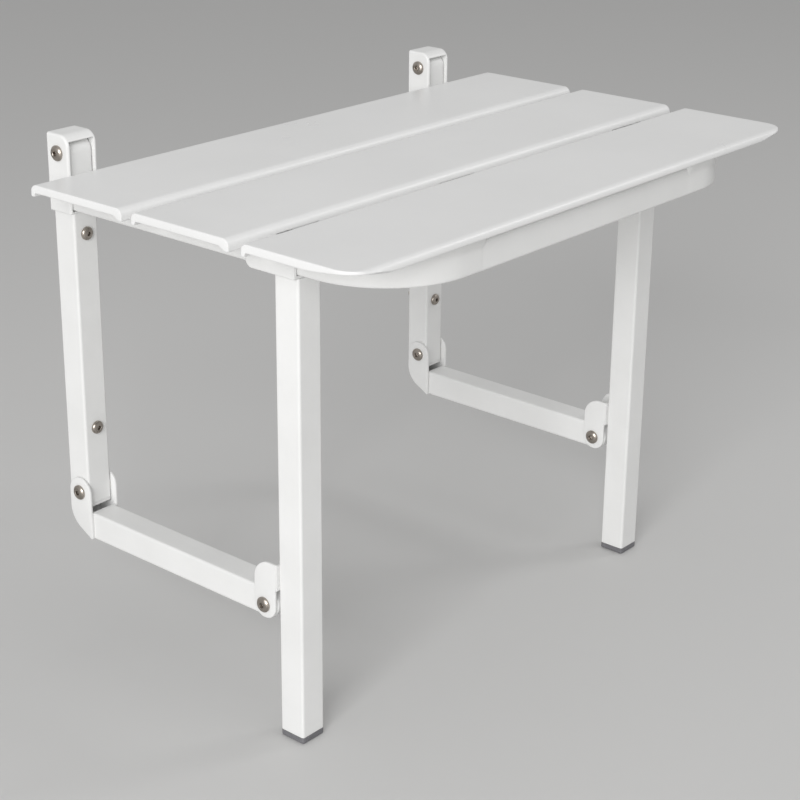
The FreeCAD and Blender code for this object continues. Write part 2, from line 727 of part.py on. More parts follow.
depths = slat_screw_depths()
rail_screws = [[(across, depth) for _, across in sides] for depth in depths]
side_notches = ["-notch_side", "notch_side"]
slat(
    "slat_back", slat_one_back, slat_one_front, "nose_tip", "",
    rail_screws[0] + rail_screws[1], side_notches)
slat(
    "slat_middle", slat_two_back, slat_two_front, "nose_tip", "",
    rail_screws[2] + rail_screws[3], side_notches + ["notch_middle"])
slat(
    "slat_front", slab_back, slab_front, "(slab_over + tube)", "slab_corner",
    rail_screws[4] + front_screws(), [])
seat_frame()
places = [across for _, across in sides]
for side, across in sides:
    post_tube(side, across)
    post_cap(side, across)
    hinge_housing(side, across)
    hinge_lug(side, across)
    leg_tube(side, across)
    foot(side, across)
    leg_top_bracket(side, across)
    leg_link_bracket(side, across)
    link_tube(side, across)
    link_wall_bracket(side, across)
    for name, pivot in (
            ("top_pivot", top_pivot), ("seat_pivot", seat_pivot),
            ("wall_pivot", wall_pivot), ("link_pivot", link_pivot)):
        pivot_bolt(name, side, across, pivot)
        pivot_nut(name, side, across, pivot)
    washers("link_pivot_washers_" + side, link_pivot, [across])
washers("top_pivot_washers", top_pivot, places)
washers("seat_pivot_washers", seat_pivot, places)
washers("wall_pivot_washers", wall_pivot, places)
wall_screws()
slat_screws()
document.recompute()

# Every object has to be sound before any file is written.
for item in document.Objects:
    if "Invalid" in item.State or "Error" in item.State:
        raise RuntimeError(item.Label + " did not build")
for piece in parts:
    if piece.Shape.isNull() or not piece.Shape.isValid() or not piece.Shape.Solids:
        raise RuntimeError(piece.Label + " has no sound solid")

os.makedirs("parts", exist_ok=True)
for piece in parts:
    piece.Shape.exportStep("parts/%s.step" % piece.Label)
    print("%-28s %d solid %9.0f mm3" % (piece.Label, len(piece.Shape.Solids), piece.Shape.Volume))
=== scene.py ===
import json
import math
import bpy
import numpy as np
from mathutils import Matrix, Vector


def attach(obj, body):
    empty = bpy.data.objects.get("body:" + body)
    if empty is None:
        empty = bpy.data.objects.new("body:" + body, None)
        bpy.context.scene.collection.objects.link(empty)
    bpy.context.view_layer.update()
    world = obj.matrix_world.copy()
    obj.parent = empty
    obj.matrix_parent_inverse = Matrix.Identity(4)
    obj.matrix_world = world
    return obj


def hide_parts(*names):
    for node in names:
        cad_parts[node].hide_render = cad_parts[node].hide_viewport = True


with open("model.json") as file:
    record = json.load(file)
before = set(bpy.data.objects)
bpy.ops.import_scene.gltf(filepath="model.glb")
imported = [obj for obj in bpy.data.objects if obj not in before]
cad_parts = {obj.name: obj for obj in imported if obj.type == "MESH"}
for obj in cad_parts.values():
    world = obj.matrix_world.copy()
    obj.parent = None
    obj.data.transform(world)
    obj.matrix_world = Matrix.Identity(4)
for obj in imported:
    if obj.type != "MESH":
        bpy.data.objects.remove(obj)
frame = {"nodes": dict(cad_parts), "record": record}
nodes = frame["nodes"]
scene = bpy.context.scene
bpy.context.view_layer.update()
print("frame loaded,", len(nodes), "nodes")

camera = {            # fitted to the photo on the edges of posts, legs, links and slats
    "place": (-1.41699, -1.41586, 0.64507),                  # metres from the middle of the wall fixings
    "yaw": 0.865097, "pitch": -0.358091, "roll": 0.009197,   # radians, yaw from +Y towards +X
    "focal": 1847.36, "picture": 800,                        # pixels
    "shift": (0.0, -0.0625),                                 # shares of the picture
    "sensor": 36, "clip": (0.05, 60)}


def makeCamera(c):
    # right and up start level, then turn by the roll about the line of sight
    sy, cy, sp, cp = math.sin(c["yaw"]), math.cos(c["yaw"]), math.sin(c["pitch"]), math.cos(c["pitch"])
    forward = Vector((sy * cp, cy * cp, sp))
    level = Vector((cy, -sy, 0))
    above = level.cross(forward)
    right = math.cos(c["roll"]) * level + math.sin(c["roll"]) * above
    up = math.cos(c["roll"]) * above - math.sin(c["roll"]) * level
    lens = bpy.data.cameras.new("camera")
    lens.sensor_width = c["sensor"]
    lens.lens = c["focal"] / c["picture"] * c["sensor"]
    lens.shift_x, lens.shift_y = c["shift"]
    lens.clip_start, lens.clip_end = c["clip"]
    eye = bpy.data.objects.new("camera", lens)
    eye.matrix_world = Matrix((right, up, -forward)).transposed().to_4x4()
    eye.location = c["place"]
    scene.collection.objects.link(eye)
    scene.camera = eye


makeCamera(camera)


def newGroup(name, inputs, outputs):
    # a shader node group with named sockets, and the nodes that stand for its inputs and outputs
    group = bpy.data.node_groups.new(name, "ShaderNodeTree")
    for label, kind, start in inputs:
        socket = group.interface.new_socket(name=label, in_out="INPUT", socket_type="NodeSocket" + kind)
        socket.default_value = start
    for label, kind in outputs:
        group.interface.new_socket(name=label, in_out="OUTPUT", socket_type="NodeSocket" + kind)
    return group, group.nodes.new("NodeGroupInput"), group.nodes.new("NodeGroupOutput")


def addNode(tree, kind, values=(), **settings):
    # settings come first, because some of them change which inputs a node has
    node = tree.nodes.new("ShaderNode" + kind)
    for key, setting in settings.items():
        setattr(node, key, setting)
    for key, number in dict(values).items():
        node.inputs[key].default_value = number
    return node


def wire(tree, *pairs):
    for source, target in pairs:
        tree.links.new(source, target)


def feed(tree, socket, source):
    # a source is another node's output, a number or a colour
    if isinstance(source, bpy.types.NodeSocket):
        tree.links.new(source, socket)
    else:
        socket.default_value = source


def mathNode(tree, operation, a, b, clamp=False):
    node = addNode(tree, "Math", operation=operation, use_clamp=clamp)
    feed(tree, node.inputs[0], a)
    feed(tree, node.inputs[1], b)
    return node.outputs[0]


mixSockets = {"FLOAT": (2, 3, 0), "RGBA": (6, 7, 2)}     # numbers of the two inputs and the output


def mixNode(tree, kind, factor, a, b):
    # a (1 - factor) + b factor
    one, two, mixed = mixSockets[kind]
    node = addNode(tree, "Mix", data_type=kind)
    feed(tree, node.inputs[0], factor)
    feed(tree, node.inputs[one], a)
    feed(tree, node.inputs[two], b)
    return node.outputs[mixed]


def edgeWearGroup():
    # mask = amount * steep (1 - rounded normal . face normal) * noise ^ contrast: high along edges only
    steep, contrast = 5.0, 1.5
    group, given, result = newGroup(
        "edgeWear",
        [("Reach", "Float", 0.0012), ("Breakup", "Float", 60.0), ("Amount", "Float", 0.5)],
        [("Mask", "Float"), ("Normal", "Vector")])
    soft = addNode(group, "Bevel", samples=4)
    flat = addNode(group, "NewGeometry")
    match = addNode(group, "VectorMath", operation="DOT_PRODUCT")
    where = addNode(group, "TexCoord")
    noise = addNode(group, "TexNoise", {"Detail": 3.0, "Roughness": 0.6})
    wire(group,
         (given.outputs["Reach"], soft.inputs["Radius"]),
         (soft.outputs["Normal"], match.inputs[0]),
         (flat.outputs["Normal"], match.inputs[1]),
         (where.outputs["Object"], noise.inputs["Vector"]),
         (given.outputs["Breakup"], noise.inputs["Scale"]))
    away = mathNode(group, "SUBTRACT", 1.0, match.outputs["Value"])
    turn = mathNode(group, "MULTIPLY", away, steep, clamp=True)
    patches = mathNode(group, "POWER", noise.outputs["Fac"], contrast)
    broken = mathNode(group, "MULTIPLY", turn, patches)
    mask = mathNode(group, "MULTIPLY", broken, given.outputs["Amount"], clamp=True)
    wire(group, (mask, result.inputs["Mask"]), (soft.outputs["Normal"], result.inputs["Normal"]))
    return group


def grainGroup():
    # height = fine noise mixed with coarse noise, tone = slow cloudiness stretched to 0 to 1
    group, given, result = newGroup(
        "grain",
        [("Fine", "Float", 900.0), ("Coarse", "Float", 220.0), ("Mix", "Float", 0.5),
         ("Cloud", "Float", 9.0)],
        [("Height", "Float"), ("Tone", "Float")])
    where = addNode(group, "TexCoord")
    fine = addNode(group, "TexNoise", {"Detail": 2.0, "Roughness": 0.5})
    coarse = addNode(group, "TexNoise", {"Detail": 1.0, "Roughness": 0.5})
    cloud = addNode(group, "TexNoise", {"Detail": 4.0, "Roughness": 0.55})
    for noise, name in ((fine, "Fine"), (coarse, "Coarse"), (cloud, "Cloud")):
        wire(group, (where.outputs["Object"], noise.inputs["Vector"]),
             (given.outputs[name], noise.inputs["Scale"]))
    height = mixNode(group, "FLOAT", given.outputs["Mix"], fine.outputs["Fac"], coarse.outputs["Fac"])
    spread = addNode(group, "MapRange", {"From Min": 0.3, "From Max": 0.7})
    wire(group, (height, result.inputs["Height"]), (cloud.outputs["Fac"], spread.inputs["Value"]),
         (spread.outputs["Result"], result.inputs["Tone"]))
    return group


edgeWear = edgeWearGroup()
grain = grainGroup()


def finish(name, look):
    # base colour drifts between two shades, edges go to a third; roughness and bump come from the grain
    material = bpy.data.materials.new(name)
    material.use_nodes = True
    tree = material.node_tree
    shader = tree.nodes["Principled BSDF"]
    wear = addNode(tree, "Group", {"Reach": look["edgeReach"], "Breakup": look["edgeBreakup"],
                                   "Amount": look["edgeAmount"]}, node_tree=edgeWear)
    skin = addNode(tree, "Group", look["grain"], node_tree=grain)
    mask, tone = wear.outputs["Mask"], skin.outputs["Tone"]
    rough = addNode(tree, "MapRange", {"To Min": look["rough"][0], "To Max": look["rough"][1]})
    bump = addNode(tree, "Bump", {"Strength": look["bump"], "Distance": look["bumpDepth"]})
    plain = mixNode(tree, "RGBA", tone, (*look["shadeOne"], 1), (*look["shadeTwo"], 1))
    wire(tree,
         (mixNode(tree, "RGBA", mask, plain, (*look["edgeShade"], 1)), shader.inputs["Base Color"]),
         (tone, rough.inputs["Value"]),
         (mixNode(tree, "FLOAT", mask, rough.outputs["Result"], look["edgeRough"]),
          shader.inputs["Roughness"]),
         (skin.outputs["Height"], bump.inputs["Height"]),
         (wear.outputs["Normal"], bump.inputs["Normal"]),
         (bump.outputs["Normal"], shader.inputs["Normal"]))
    for key, number in look["shader"].items():
        shader.inputs[key].default_value = number
    return material


powderCoat = {
    "shadeOne": (0.80, 0.80, 0.79), "shadeTwo": (0.84, 0.84, 0.832), "edgeShade": (0.70, 0.70, 0.69),
    "edgeReach": 0.0011, "edgeBreakup": 70.0, "edgeAmount": 0.35, "edgeRough": 0.25,
    "grain": {"Fine": 1500.0, "Coarse": 420.0, "Mix": 0.65, "Cloud": 14.0},
    "rough": (0.33, 0.42), "bump": 0.25, "bumpDepth": 0.0002,
    "shader": {"IOR": 1.5}}
seatPlastic = {
    "shadeOne": (0.80, 0.80, 0.795), "shadeTwo": (0.835, 0.835, 0.83), "edgeShade": (0.86, 0.86, 0.855),
    "edgeReach": 0.0012, "edgeBreakup": 40.0, "edgeAmount": 0.4, "edgeRough": 0.3,
    "grain": {"Fine": 1100.0, "Coarse": 300.0, "Mix": 0.4, "Cloud": 7.0},
    "rough": (0.27, 0.36), "bump": 0.2, "bumpDepth": 0.0002,
    "shader": {"IOR": 1.48}}
capPlastic = {
    "shadeOne": (0.76, 0.76, 0.75), "shadeTwo": (0.82, 0.82, 0.81), "edgeShade": (0.7, 0.7, 0.69),
    "edgeReach": 0.0009, "edgeBreakup": 80.0, "edgeAmount": 0.4, "edgeRough": 0.5,
    "grain": {"Fine": 1300.0, "Coarse": 350.0, "Mix": 0.4, "Cloud": 20.0},
    "rough": (0.42, 0.55), "bump": 0.3, "bumpDepth": 0.0002,
    "shader": {"IOR": 1.5}}
washerNylon = {
    "shadeOne": (0.66, 0.66, 0.62), "shadeTwo": (0.72, 0.715, 0.68), "edgeShade": (0.8, 0.8, 0.77),
    "edgeReach": 0.0003, "edgeBreakup": 200.0, "edgeAmount": 0.3, "edgeRough": 0.5,
    "grain": {"Fine": 1800.0, "Coarse": 600.0, "Mix": 0.5, "Cloud": 60.0},
    "rough": (0.45, 0.55), "bump": 0.15, "bumpDepth": 0.0001,
    "shader": {"IOR": 1.53}}
footPlastic = {
    "shadeOne": (0.15, 0.148, 0.158), "shadeTwo": (0.19, 0.187, 0.2), "edgeShade": (0.32, 0.32, 0.33),
    "edgeReach": 0.0012, "edgeBreakup": 90.0, "edgeAmount": 0.8, "edgeRough": 0.6,
    "grain": {"Fine": 1400.0, "Coarse": 380.0, "Mix": 0.5, "Cloud": 45.0},
    "rough": (0.45, 0.62), "bump": 0.4, "bumpDepth": 0.0002,
    "shader": {"IOR": 1.5}}
fastenerSteel = {
    "shadeOne": (0.33, 0.295, 0.262), "shadeTwo": (0.43, 0.39, 0.35), "edgeShade": (0.60, 0.57, 0.53),
    "edgeReach": 0.0004, "edgeBreakup": 300.0, "edgeAmount": 0.9, "edgeRough": 0.22,
    "grain": {"Fine": 4000.0, "Coarse": 900.0, "Mix": 0.35, "Cloud": 160.0},
    "rough": (0.24, 0.36), "bump": 0.25, "bumpDepth": 0.0001,
    "shader": {"Metallic": 1.0}}

finishes = {
    "white_powder_coat": finish("whitePowderCoat", powderCoat),
    "white_seat_plastic": finish("whiteSeatPlastic", seatPlastic),
    "white_nylon": finish("washerNylon", washerNylon),
    "white_cap_plastic": finish("whiteCapPlastic", capPlastic),
    "grey_foot_plastic": finish("greyFootPlastic", footPlastic),
    "stainless_steel": finish("stainlessSteel", fastenerSteel)}
slotOf = {entry["node"]: entry["material_slot"] for entry in frame["record"]["subparts"]}
for name, piece in nodes.items():
    for place in piece.material_slots:
        place.material = finishes[slotOf[name]]
print("materials made:", len(finishes))


def newMesh(name, points, quads, triangles, crease=32):
    # all faces in one pass: first the quads, then the triangles
    mesh = bpy.data.meshes.new(name)
    corners = np.concatenate([quads.ravel(), triangles.ravel()]).astype(np.int32)
    sizes = np.concatenate([np.full(len(quads), 4), np.full(len(triangles), 3)])
    mesh.vertices.add(len(points))
    mesh.vertices.foreach_set("co", points.astype(np.float32).ravel())
    mesh.loops.add(len(corners))
    mesh.loops.foreach_set("vertex_index", corners)
    mesh.polygons.add(len(sizes))
    mesh.polygons.foreach_set("loop_start", (np.cumsum(sizes) - sizes).astype(np.int32))
    mesh.polygons.foreach_set("use_smooth", np.ones(len(sizes), bool))
    mesh.update(calc_edges=True)
    mesh.set_sharp_from_angle(angle=math.radians(crease))
    piece = bpy.data.objects.new(name, mesh)
    scene.collection.objects.link(piece)
    return piece


def ringQuads(rings, columns):
    # between closed rings of points: corner, the one below, the one below and beside, the one beside
    row, col = np.meshgrid(np.arange(rings - 1), np.arange(columns), indexing="ij")
    after = (col + 1) % columns
    return np.stack([row * columns + col, (row + 1) * columns + col,
                     (row + 1) * columns + after, row * columns + after], -1).reshape(-1, 4)


def fan(pole, first, columns):
    # triangles from a pole to the closed ring whose points start at first
    lone = np.arange(columns)
    return np.stack([np.full(columns, pole), first + lone, first + (lone + 1) % columns], -1)


# these orders of corners turn a quad or a triangle over and keep its first corner
quadOver, fanOver = (0, 3, 2, 1), (0, 2, 1)


def latheMesh(name, grids, columns):
    # every grid is rings x columns x 3, its first and last ring drawn together in a pole
    rings = grids[0].shape[0] - 2
    end = rings * columns
    caps = np.concatenate([fan(end, 0, columns), fan(end + 1, end - columns, columns)[:, fanOver]])
    shift = np.arange(len(grids))[:, None, None] * (end + 2)
    points = np.concatenate([np.concatenate([
        grid[1:-1].reshape(-1, 3), grid[:1].mean(1), grid[-1:].mean(1)]) for grid in grids])
    return newMesh(name, points, (ringQuads(rings, columns) + shift).reshape(-1, 4),
                   (caps + shift).reshape(-1, 3))


def dress(piece, body, slot, *replaced):
    # finish, body and slot of a piece, and the CAD nodes that it stands for
    piece.data.materials.append(finishes[slot])
    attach(piece, body)
    if replaced:
        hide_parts(*replaced)


def arc(centre, radius, start, end, count):
    # point = centre + radius (cos t, sin t), t from start to end in degrees
    t = np.radians(np.linspace(start, end, count))
    return np.stack([centre[0] + radius * np.cos(t), centre[1] + radius * np.sin(t)], -1)


headWays = {          # where +X, +Y and +Z of a fastener's own profile go, its head looking along the key
    "-x": ((-1, 0, 0), (0, -1, 0), (0, 0, 1)), "x": ((1, 0, 0), (0, 1, 0), (0, 0, 1)),
    "-y": ((0, -1, 0), (1, 0, 0), (0, 0, 1)), "-z": ((0, 0, -1), (0, 1, 0), (1, 0, 0))}


def lathe(profile, hexShare, columns, way, twist):
    # point (x, r) at angle a goes to (x, r cos a, r sin a); on the hexagonal rings r is divided by
    # the cosine of the angle to the nearest flat
    turn = np.linspace(0, 2 * math.pi, columns, endpoint=False) + twist
    sixth = math.pi / 3
    toFlat = (turn - twist + sixth / 2) % sixth - sixth / 2
    radius = profile[:, 1, None] * (1 + hexShare[:, None] * (1 / np.cos(toFlat) - 1)[None])
    along = np.repeat(profile[:, 0, None], columns, 1)
    points = np.stack([along, radius * np.cos(turn), radius * np.sin(turn)], -1)
    return points @ np.array(headWays[way], float)


headForm = {          # what all heads share
    "cone": 0.3, "floorShare": 0.93, "floorRise": 0.00008, "bevel": 0.0003, "bevelHex": 0.85,
    "domeSteps": 16, "rim": 0.00035, "rimSteps": 5}
shankForm = {"fillet": 0.0003, "tipRun": 0.0012, "tipShare": 0.78, "turnSteps": 6}
socketTurn = {"first": 0.37, "next": 1.9}                # radians


def headProfile(size, f):
    # socket floor, hexagonal wall with a bevelled mouth, flat land, dome as an arc of a circle, rim
    h, r, flat, land = size["height"], size["radius"], size["socket"], size["land"]
    rise, run = size["rise"], r - land
    bow = (rise ** 2 + run ** 2) / (2 * rise)
    end = math.degrees(math.asin(min(1.0, run / bow)))
    floor = h - size["socketDeep"]
    socket = np.array([
        (floor - flat * f["cone"], 0.0), (floor, flat * f["floorShare"]), (floor + f["floorRise"], flat),
        (h - f["bevel"], flat), (h, flat + f["bevel"])])
    dome = arc((h - bow, land), bow, 0, end, f["domeSteps"])
    rim = arc((f["rim"], r - f["rim"]), f["rim"], 90, 180, f["rimSteps"])
    profile = np.concatenate([socket, dome, rim])
    share = np.zeros(len(profile))
    share[1:5] = (1, 1, 1, f["bevelHex"])
    return profile, share


def shankProfile(size, f):
    # plain shank, then a thread of the given pitch as a raised cosine wave, then a bevelled tip
    r, tip, pitch = size["shank"], -size["long"], size["pitch"]
    start = tip + size["thread"]
    x = np.linspace(start, tip + f["tipRun"], int(size["thread"] / pitch * f["turnSteps"]))
    wave = size["threadDeep"] * (0.5 - 0.5 * np.cos(2 * math.pi * (x - start) / pitch))
    thread = np.stack([x, r - wave], -1)
    return np.concatenate([[(0.0, r + f["fillet"]), (-f["fillet"], r)], thread,
                           [(tip, r * f["tipShare"]), (tip, 0.0)]])


def fastener(name, size, spots, way, body, columns=72):
    # a head, with or without a shank, repeated with its underside's middle at each spot, each turned further
    profile, share = headProfile(size, headForm)
    tail = shankProfile(size, shankForm) if "long" in size else np.array([(0.0, 0.0)])
    profile = np.concatenate([profile, tail])
    share = np.concatenate([share, np.zeros(len(tail))])
    grids = [lathe(profile, share, columns, way, socketTurn["first"] + socketTurn["next"] * i)
             + np.array(spot) for i, spot in enumerate(spots)]
    dress(latheMesh(name + "_detailed", grids, columns), body, "stainless_steel", name)


pivotBolt = {
    "height": 0.0042, "radius": 0.0079, "rise": 0.0024, "land": 0.0032, "shank": 0.00395,
    "socket": 0.0024, "socketDeep": 0.0038, "long": 0.0394, "thread": 0.006, "pitch": 0.00125,
    "threadDeep": 0.0005}
pivotNut = {
    "height": 0.0034, "radius": 0.0055, "rise": 0.0014, "land": 0.0030, "socket": 0.0017,
    "socketDeep": 0.0013}
wallScrew = {
    "height": 0.0042, "radius": 0.0069, "rise": 0.0024, "land": 0.0029, "shank": 0.004,
    "socket": 0.0021, "socketDeep": 0.0033, "long": 0.040, "thread": 0.009, "pitch": 0.0026,
    "threadDeep": 0.0009}
slatScrew = {
    "height": 0.0025, "radius": 0.0042, "rise": 0.002, "land": 0.0019, "shank": 0.0025,
    "socket": 0.0013, "socketDeep": 0.0013, "long": 0.009, "thread": 0.0062, "pitch": 0.0016,
    "threadDeep": 0.0006}

lower = 0.352                                        # floor to the middle of the wall fixings
railTop, underRail = 0.513 - lower, 0.511 - lower    # outside and inside of the frame's upper wall
halfPitch, halfTube = 0.275, 0.015
legMiddle, frontMiddle = -0.321, -0.435              # depths of the legs' and of the front tube's middle
earIn, earOut = 0.01575, 0.01875                     # faces of every hinge ear from its post's middle
sides = (("left", -halfPitch), ("right", halfPitch))
pivots = {                                           # body of bolt and nut, depth and height of the axis
    "top_pivot": ("wall_frame", -0.015, 0.540 - lower),
    "wall_pivot": ("wall_frame", -0.020, 0.176 - lower),
    "seat_pivot": ("seat", -0.284, 0.504 - lower),
    "link_pivot": ("%s_leg", -0.289, 0.140 - lower)}
wallScrewHigh = 0.105
slatScrewDepths = (-0.0744, -0.139, -0.216, -0.278, -0.357)
frontScrewHalf = 0.15

for side, middle in sides:
    for name, (body, deep, high) in pivots.items():
        rider = body % side if "%" in body else body
        fastener("%s_bolt_%s" % (name, side), pivotBolt, [(middle - earOut, deep, high)], "-x", rider)
        fastener("%s_nut_%s" % (name, side), pivotNut, [(middle + earOut, deep, high)], "x", rider)
wallSpots = [(x, -2 * halfTube, z) for x in (-halfPitch, halfPitch) for z in (-wallScrewHigh, wallScrewHigh)]
fastener("wall_screws", wallScrew, wallSpots, "-y", "wall_frame")
slatSpots = [(x, y, underRail) for x in (-halfPitch, halfPitch) for y in slatScrewDepths]
slatSpots += [(x, frontMiddle, underRail) for x in (-frontScrewHalf, frontScrewHalf)]
fastener("slat_screws", slatScrew, slatSpots, "-z", "seat", columns=36)
print("fasteners made")

slatShape = {
    "half": 0.350, "deep": 0.012, "plate": 0.008, "backRound": 0.0065, "endRound": 0.0009,
    "lip": 0.0046, "lipRound": 0.0016, "lipHollow": 0.0024,
    "noseRound": 0.0080, "noseTip": 0.0033, "noseRun": 0.0100, "tipRound": 0.0016, "droop": True,
    "notchHeight": 0.0036, "notchHalf": 0.028, "notchEnd": 0.0006, "notchRound": 0.0008,
    "corner": 0.0, "cornerThin": 0.0048, "thinDeep": 0.062, "thinRun": 0.055, "thinWide": 0.03,
    "leastHalf": 0.00015}
slats = {             # back edge, depth, middles of the drain notches, and what differs from slatShape
    "slat_back": (-0.0424, 0.1286, (-0.262, 0.262), {}),
    "slat_middle": (-0.1840, 0.1260, (-0.262, -0.035, 0.262), {}),
    "slat_front": (-0.3250, 0.1340, (),
                   {"corner": 0.025, "noseRound": 0.0066, "tipRound": 0.0014, "droop": False})}
slatGrid = {          # places and numbers of the grid's lines; notch lines are counted from a notch's ends
    "arcSteps": 12, "lipSteps": 9, "tipSteps": 8, "noseSteps": 14, "lipLines": (-0.00002, 0.0, 0.0003),
    "frontZone": 0.030, "frontLines": (0.018, 0.024), "plainFrom": 0.02, "plainTo": 0.034, "plainSteps": 8,
    "middleHalf": 0.29, "middleSteps": 29, "outerShares": (0.75, 0.5, 0.25),
    "endLine": 0.0015, "endZone": 0.008, "notchLines": (-0.0008, -0.0003, 0.0003, 0.0008)}


def quarter(distance, radius):
    # how far a round edge has fallen at a distance inside it: r - sqrt(r^2 - (r - d)^2)
    inside = np.clip(radius - distance, 0, radius)
    return radius - np.sqrt(radius ** 2 - inside ** 2)


def smoothStep(t):
    # 3 t^2 - 2 t^3 between 0 and 1
    t = np.clip(t, 0, 1)
    return t * t * (3 - 2 * t)


def slatPlan(w, g, depth, notches):
    # grid over the plan: x, depth d from the back edge and distance to the slat's end, all of one shape
    arcs = 1 - np.cos(np.linspace(0, math.pi / 2, g["arcSteps"]))
    lip, tip = w["lip"], w["noseTip"]
    lipArcs = arcs[:g["lipSteps"]]
    backZone = np.concatenate([w["backRound"] * arcs, lip + np.array(g["lipLines"]),
                               lip - w["lipRound"] * lipArcs, lip + w["lipHollow"] * lipArcs])
    frontZone = np.concatenate([
        w["noseRound"] * arcs, w["tipRound"] * arcs[:g["tipSteps"]],
        np.linspace(tip, tip + w["noseRun"], g["noseSteps"]), g["frontZone"] * arcs, g["frontLines"]])
    plain = np.linspace(g["plainFrom"], depth - g["plainTo"], g["plainSteps"])
    d = np.unique(np.round(np.concatenate([backZone, depth - frontZone, plain]), 7))
    e = depth - d
    reach = w["half"] - quarter(e, w["corner"]) if w["corner"] else np.full_like(d, w["half"])
    reach = reach[:, None]
    fromEnd = np.concatenate([w["endRound"] * arcs[::2], [w["endRound"] + g["endLine"], g["endZone"]]])
    ends = np.array([m + h for m in notches for h in (-w["notchHalf"], w["notchHalf"])])
    fixed = np.unique(np.concatenate([np.linspace(-g["middleHalf"], g["middleHalf"], g["middleSteps"])]
                                     + [ends + step for step in g["notchLines"]]))
    between = (reach - g["endZone"] - g["middleHalf"]) * np.array(g["outerShares"])
    outer = np.concatenate([reach - fromEnd[None], g["middleHalf"] + between], 1)
    x = np.concatenate([-outer, np.repeat(fixed[None], len(d), 0), outer[:, ::-1]], 1)
    toEnd = reach - np.abs(x)
    if w["corner"]:
        # inside the round plan corner the distance is taken to its circle
        r, past = w["corner"], np.abs(x) - (w["half"] - w["corner"])
        toEnd = np.where((past > 0) & (e[:, None] < r), r - np.hypot(past, r - e[:, None]), toEnd)
    return x, np.repeat(d[:, None], x.shape[1], 1), toEnd


def slatHeights(w, x, d, depth, notches):
    # heights of the top and the underside over the rail, as arrays of the same shape as x and d
    e = depth - d
    top = w["deep"] - quarter(d, w["backRound"]) - quarter(e, w["noseRound"])
    plate = w["deep"] - w["plate"]
    lipEnd = quarter(d, w["lipRound"]) + quarter(w["lip"] - d, w["lipRound"])
    under = np.where(d < w["lip"], lipEnd, plate - quarter(d - w["lip"], w["lipHollow"]))
    if w["droop"]:
        nose = plate * smoothStep((e - w["noseTip"]) / w["noseRun"]) + quarter(e, w["tipRound"])
        under = np.where(e < w["noseTip"] + w["noseRun"], nose, under)
    else:
        under = under + quarter(e, w["tipRound"])
    inNotch = np.zeros_like(x)
    for middle in notches:
        inside = w["notchHalf"] - np.abs(x - middle)
        inNotch = np.maximum(inNotch, np.clip(inside / w["notchEnd"] + 0.5, 0, 1))
    roof = np.maximum(under, w["notchHeight"] + quarter(e, w["notchRound"]))
    raised = np.where(e < depth / 2, roof, under)
    return top, under + (raised - under) * inNotch


def cells(*corners):
    # one quad for each place of the four arrays of point numbers
    return np.stack(corners, -1).reshape(-1, 4)


def slatPiece(name, back, depth, notches, changes):
    # two height fields over the plan, top(x, d) and underside(x, d), joined by walls all round
    w = {**slatShape, **changes}
    x, d, toEnd = slatPlan(w, slatGrid, depth, notches)
    top, under = slatHeights(w, x, d, depth, notches)
    if w["corner"]:
        # the underside rises towards the round plan corner, where the slat's cut edge runs out thin
        thin = np.clip((w["thinDeep"] - (depth - d)) / w["thinRun"], 0, 1)
        thin = thin * np.clip((w["thinWide"] - toEnd) / w["thinWide"], 0, 1)
        under = under + w["cornerThin"] * smoothStep(thin)
    soft = quarter(toEnd, w["endRound"])
    middle = (top + under) / 2
    top, under = (np.maximum(top - soft, middle + w["leastHalf"]),
                  np.minimum(under + soft, middle - w["leastHalf"]))
    points = np.stack([np.stack([x, back - d, railTop + h], -1) for h in (top, under)]).reshape(-1, 3)
    t, u = np.arange(2 * x.size).reshape(2, *x.shape)
    quads = np.concatenate([
        cells(t[:-1, :-1], t[1:, :-1], t[1:, 1:], t[:-1, 1:]),
        cells(u[:-1, :-1], u[:-1, 1:], u[1:, 1:], u[1:, :-1]),
        cells(t[:-1, 0], u[:-1, 0], u[1:, 0], t[1:, 0]),
        cells(t[:-1, -1], t[1:, -1], u[1:, -1], u[:-1, -1]),
        cells(t[0, :-1], t[0, 1:], u[0, 1:], u[0, :-1]),
        cells(t[-1, :-1], u[-1, :-1], u[-1, 1:], t[-1, 1:])])
    piece = newMesh(name + "_moulded", points, quads, np.zeros((0, 3), int), crease=38)
    dress(piece, "seat", "white_seat_plastic", name)


def roundedOutline(corners, radii, steps=9):
    # each corner becomes an arc about c = p + (a + b) / |a + b| * r / sin(angle / 2), where a and b point
    # to the neighbours; the arc swings from one tangent point to the other
    p, r = np.array(corners, float), np.array(radii, float)[:, None]
    a, b = np.roll(p, 1, 0) - p, np.roll(p, -1, 0) - p
    a, b = a / np.linalg.norm(a, axis=1)[:, None], b / np.linalg.norm(b, axis=1)[:, None]
    angle = np.arccos(np.clip((a * b).sum(1), -1, 1))[:, None]
    middle = (a + b) / np.linalg.norm(a + b, axis=1)[:, None]
    c = p + middle * r / np.sin(angle / 2)
    run = r / np.tan(angle / 2)
    swing = (math.pi - angle)[:, :, None]
    k = np.linspace(0, 1, steps)[None, :, None]
    u, v = (p + a * run - c)[:, None], (p + b * run - c)[:, None]
    swung = (np.sin((1 - k) * swing) * u + np.sin(k * swing) * v) / np.sin(swing)
    return (c[:, None] + swung).reshape(-1, 2)


def roundedBox(x0, x1, y0, y1, radius, steps):
    # rectangle between x0, x1 and y0, y1 with the same arc at each corner
    return roundedOutline([(x0, y0), (x1, y0), (x1, y1), (x0, y1)], [radius] * 4, steps)


